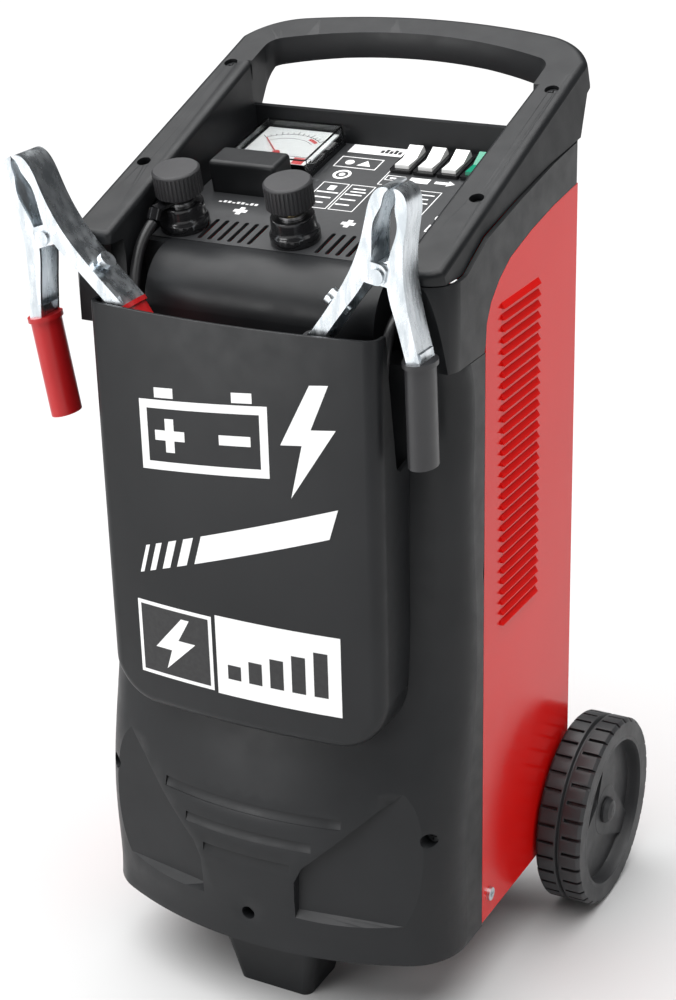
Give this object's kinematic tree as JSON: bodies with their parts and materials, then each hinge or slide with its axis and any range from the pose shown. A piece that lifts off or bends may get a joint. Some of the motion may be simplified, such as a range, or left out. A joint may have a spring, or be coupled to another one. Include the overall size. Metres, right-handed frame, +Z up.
{
  "type": "battery charger",
  "caption": "Wheeled battery charger and starter: loop-handled upright cabinet with sloping control deck, front cable pocket and two sprung clamps on cables.",
  "frame": {"origin": "on the ground under the middle of the object's bounding box", "axes": "+Z up; the front with the pocket faces -Y; +X to the right of someone facing the front"},
  "size_m": [0.334, 0.3076, 0.616],
  "materials": {
    "black_plastic": "fine textured satin, black",
    "red_paint": "glossy red enamel on sheet steel",
    "wheel_plastic": "satin dark plastic",
    "zinc": "bright zinc plate",
    "steel": "plain steel",
    "brass": "plain brass",
    "gloss_black": "glossy black",
    "red_grip": "soft glossy vinyl, red",
    "black_grip": "soft satin vinyl, black",
    "cable_jacket": "satin cable jacket, black",
    "white_plastic": "glossy white key",
    "green_plastic": "translucent green key",
    "clear_cover": "clear acrylic",
    "dial_white": "printed white dial",
    "needle_red": "red painted pointer",
    "copper": "enamelled copper winding",
    "laminations": "varnished steel laminations",
    "aluminium": "mill finish"
  },
  "bodies": {
    "chassis": {"base_tray": "steel", "side_panel_right": "red_paint", "side_panel_left": "red_paint", "rear_panel": "red_paint", "head_frame": "black_plastic", "head_skirt": "black_plastic", "control_panel": "black_plastic", "front_shell": "black_plastic", "pocket_cover": "black_plastic", "front_foot": "black_plastic", "axle": "steel", "axle_brackets": "steel", "axle_caps": "wheel_plastic", "terminal_bosses": "gloss_black", "terminal_studs": "brass", "terminal_washers": "steel", "ring_lug": "gloss_black", "meter_case": "gloss_black", "meter_dial": "dial_white", "meter_cover": "clear_cover", "fuse_base": "black_plastic", "fuse_strip": "zinc", "rocker_frames": "gloss_black", "cable_positive": "cable_jacket", "cable_negative": "cable_jacket", "negative_gland": "gloss_black", "mains_gland": "black_plastic", "transformer_core": "laminations", "transformer_windings": "copper", "rectifier": "aluminium", "rail_screws": "steel", "shell_screws": "steel", "panel_screws": "zinc", "clamp_negative_arm_fixed": "zinc", "clamp_negative_pin": "zinc", "clamp_negative_spring": "zinc", "clamp_negative_bolt": "zinc", "clamp_negative_grip_fixed": "black_grip", "clamp_positive_arm_fixed": "zinc", "clamp_positive_pin": "zinc", "clamp_positive_spring": "zinc", "clamp_positive_bolt": "zinc", "clamp_positive_grip_fixed": "red_grip"},
    "wheel_r": {"tyre_right": "wheel_plastic", "wheel_right": "wheel_plastic"},
    "wheel_l": {"tyre_left": "wheel_plastic", "wheel_left": "wheel_plastic"},
    "knob_l": {"terminal_knob_left": "black_plastic"},
    "knob_r": {"terminal_knob_right": "black_plastic"},
    "needle": {"meter_needle": "needle_red"},
    "fuse_lid": {"fuse_cover": "black_plastic"},
    "key_1": {"rocker_1": "white_plastic"},
    "key_2": {"rocker_2": "white_plastic"},
    "key_3": {"rocker_3": "white_plastic"},
    "key_power": {"rocker_power": "green_plastic"},
    "negative_jaw": {"clamp_negative_arm_moving": "zinc", "clamp_negative_grip_moving": "black_grip"},
    "positive_jaw": {"clamp_positive_arm_moving": "zinc", "clamp_positive_grip_moving": "red_grip"}
  },
  "joints": [
    {"name": "wheel_right_spin", "type": "hinge", "parent": "chassis", "child": "wheel_r", "pos_m": [0.15, 0.0853, 0.0685], "axis": [1, 0, 0], "continuous": true},
    {"name": "wheel_left_spin", "type": "hinge", "parent": "chassis", "child": "wheel_l", "pos_m": [-0.15, 0.0853, 0.0685], "axis": [1, 0, 0], "continuous": true},
    {"name": "knob_left_turn", "type": "hinge", "parent": "chassis", "child": "knob_l", "pos_m": [-0.0805, -0.06078, 0.53884], "axis": [0, -0.2164, 0.9763], "range_deg": [-180, 180]},
    {"name": "knob_right_turn", "type": "hinge", "parent": "chassis", "child": "knob_r", "pos_m": [-0.0003, -0.06078, 0.53884], "axis": [0, -0.2164, 0.9763], "range_deg": [-180, 180]},
    {"name": "needle_sweep", "type": "hinge", "parent": "chassis", "child": "needle", "pos_m": [-0.061, 0.02895, 0.54296], "axis": [0, -0.2164, 0.9763], "range_deg": [-84, 0], "stiffness_Nm_per_rad": 0.0001},
    {"name": "fuse_lid_pull", "type": "slide", "parent": "chassis", "child": "fuse_lid", "axis": [0, -0.2164, 0.9763], "range_m": [0, 0.03]},
    {"name": "key_1_rock", "type": "hinge", "parent": "chassis", "child": "key_1", "pos_m": [0.025, 0.05486, 0.53928], "axis": [1, 0, 0], "range_deg": [-14, 0]},
    {"name": "key_2_rock", "type": "hinge", "parent": "chassis", "child": "key_2", "pos_m": [0.0417, 0.05486, 0.53928], "axis": [1, 0, 0], "range_deg": [-14, 0]},
    {"name": "key_3_rock", "type": "hinge", "parent": "chassis", "child": "key_3", "pos_m": [0.0584, 0.05486, 0.53928], "axis": [1, 0, 0], "range_deg": [-14, 0]},
    {"name": "key_power_rock", "type": "hinge", "parent": "chassis", "child": "key_power", "pos_m": [0.0751, 0.05486, 0.53928], "axis": [1, 0, 0], "range_deg": [-14, 0]},
    {"name": "negative_jaw_open", "type": "hinge", "parent": "chassis", "child": "negative_jaw", "pos_m": [0.0995, -0.1295, 0.527], "axis": [0, 1, 0], "range_deg": [0, 6], "stiffness_Nm_per_rad": 0.8, "springref_deg": -34.38},
    {"name": "positive_jaw_open", "type": "hinge", "parent": "chassis", "child": "positive_jaw", "pos_m": [-0.13, -0.1295, 0.5235], "axis": [0, 1, 0], "range_deg": [-6, 0], "stiffness_Nm_per_rad": 0.8, "springref_deg": 34.38}
  ]
}
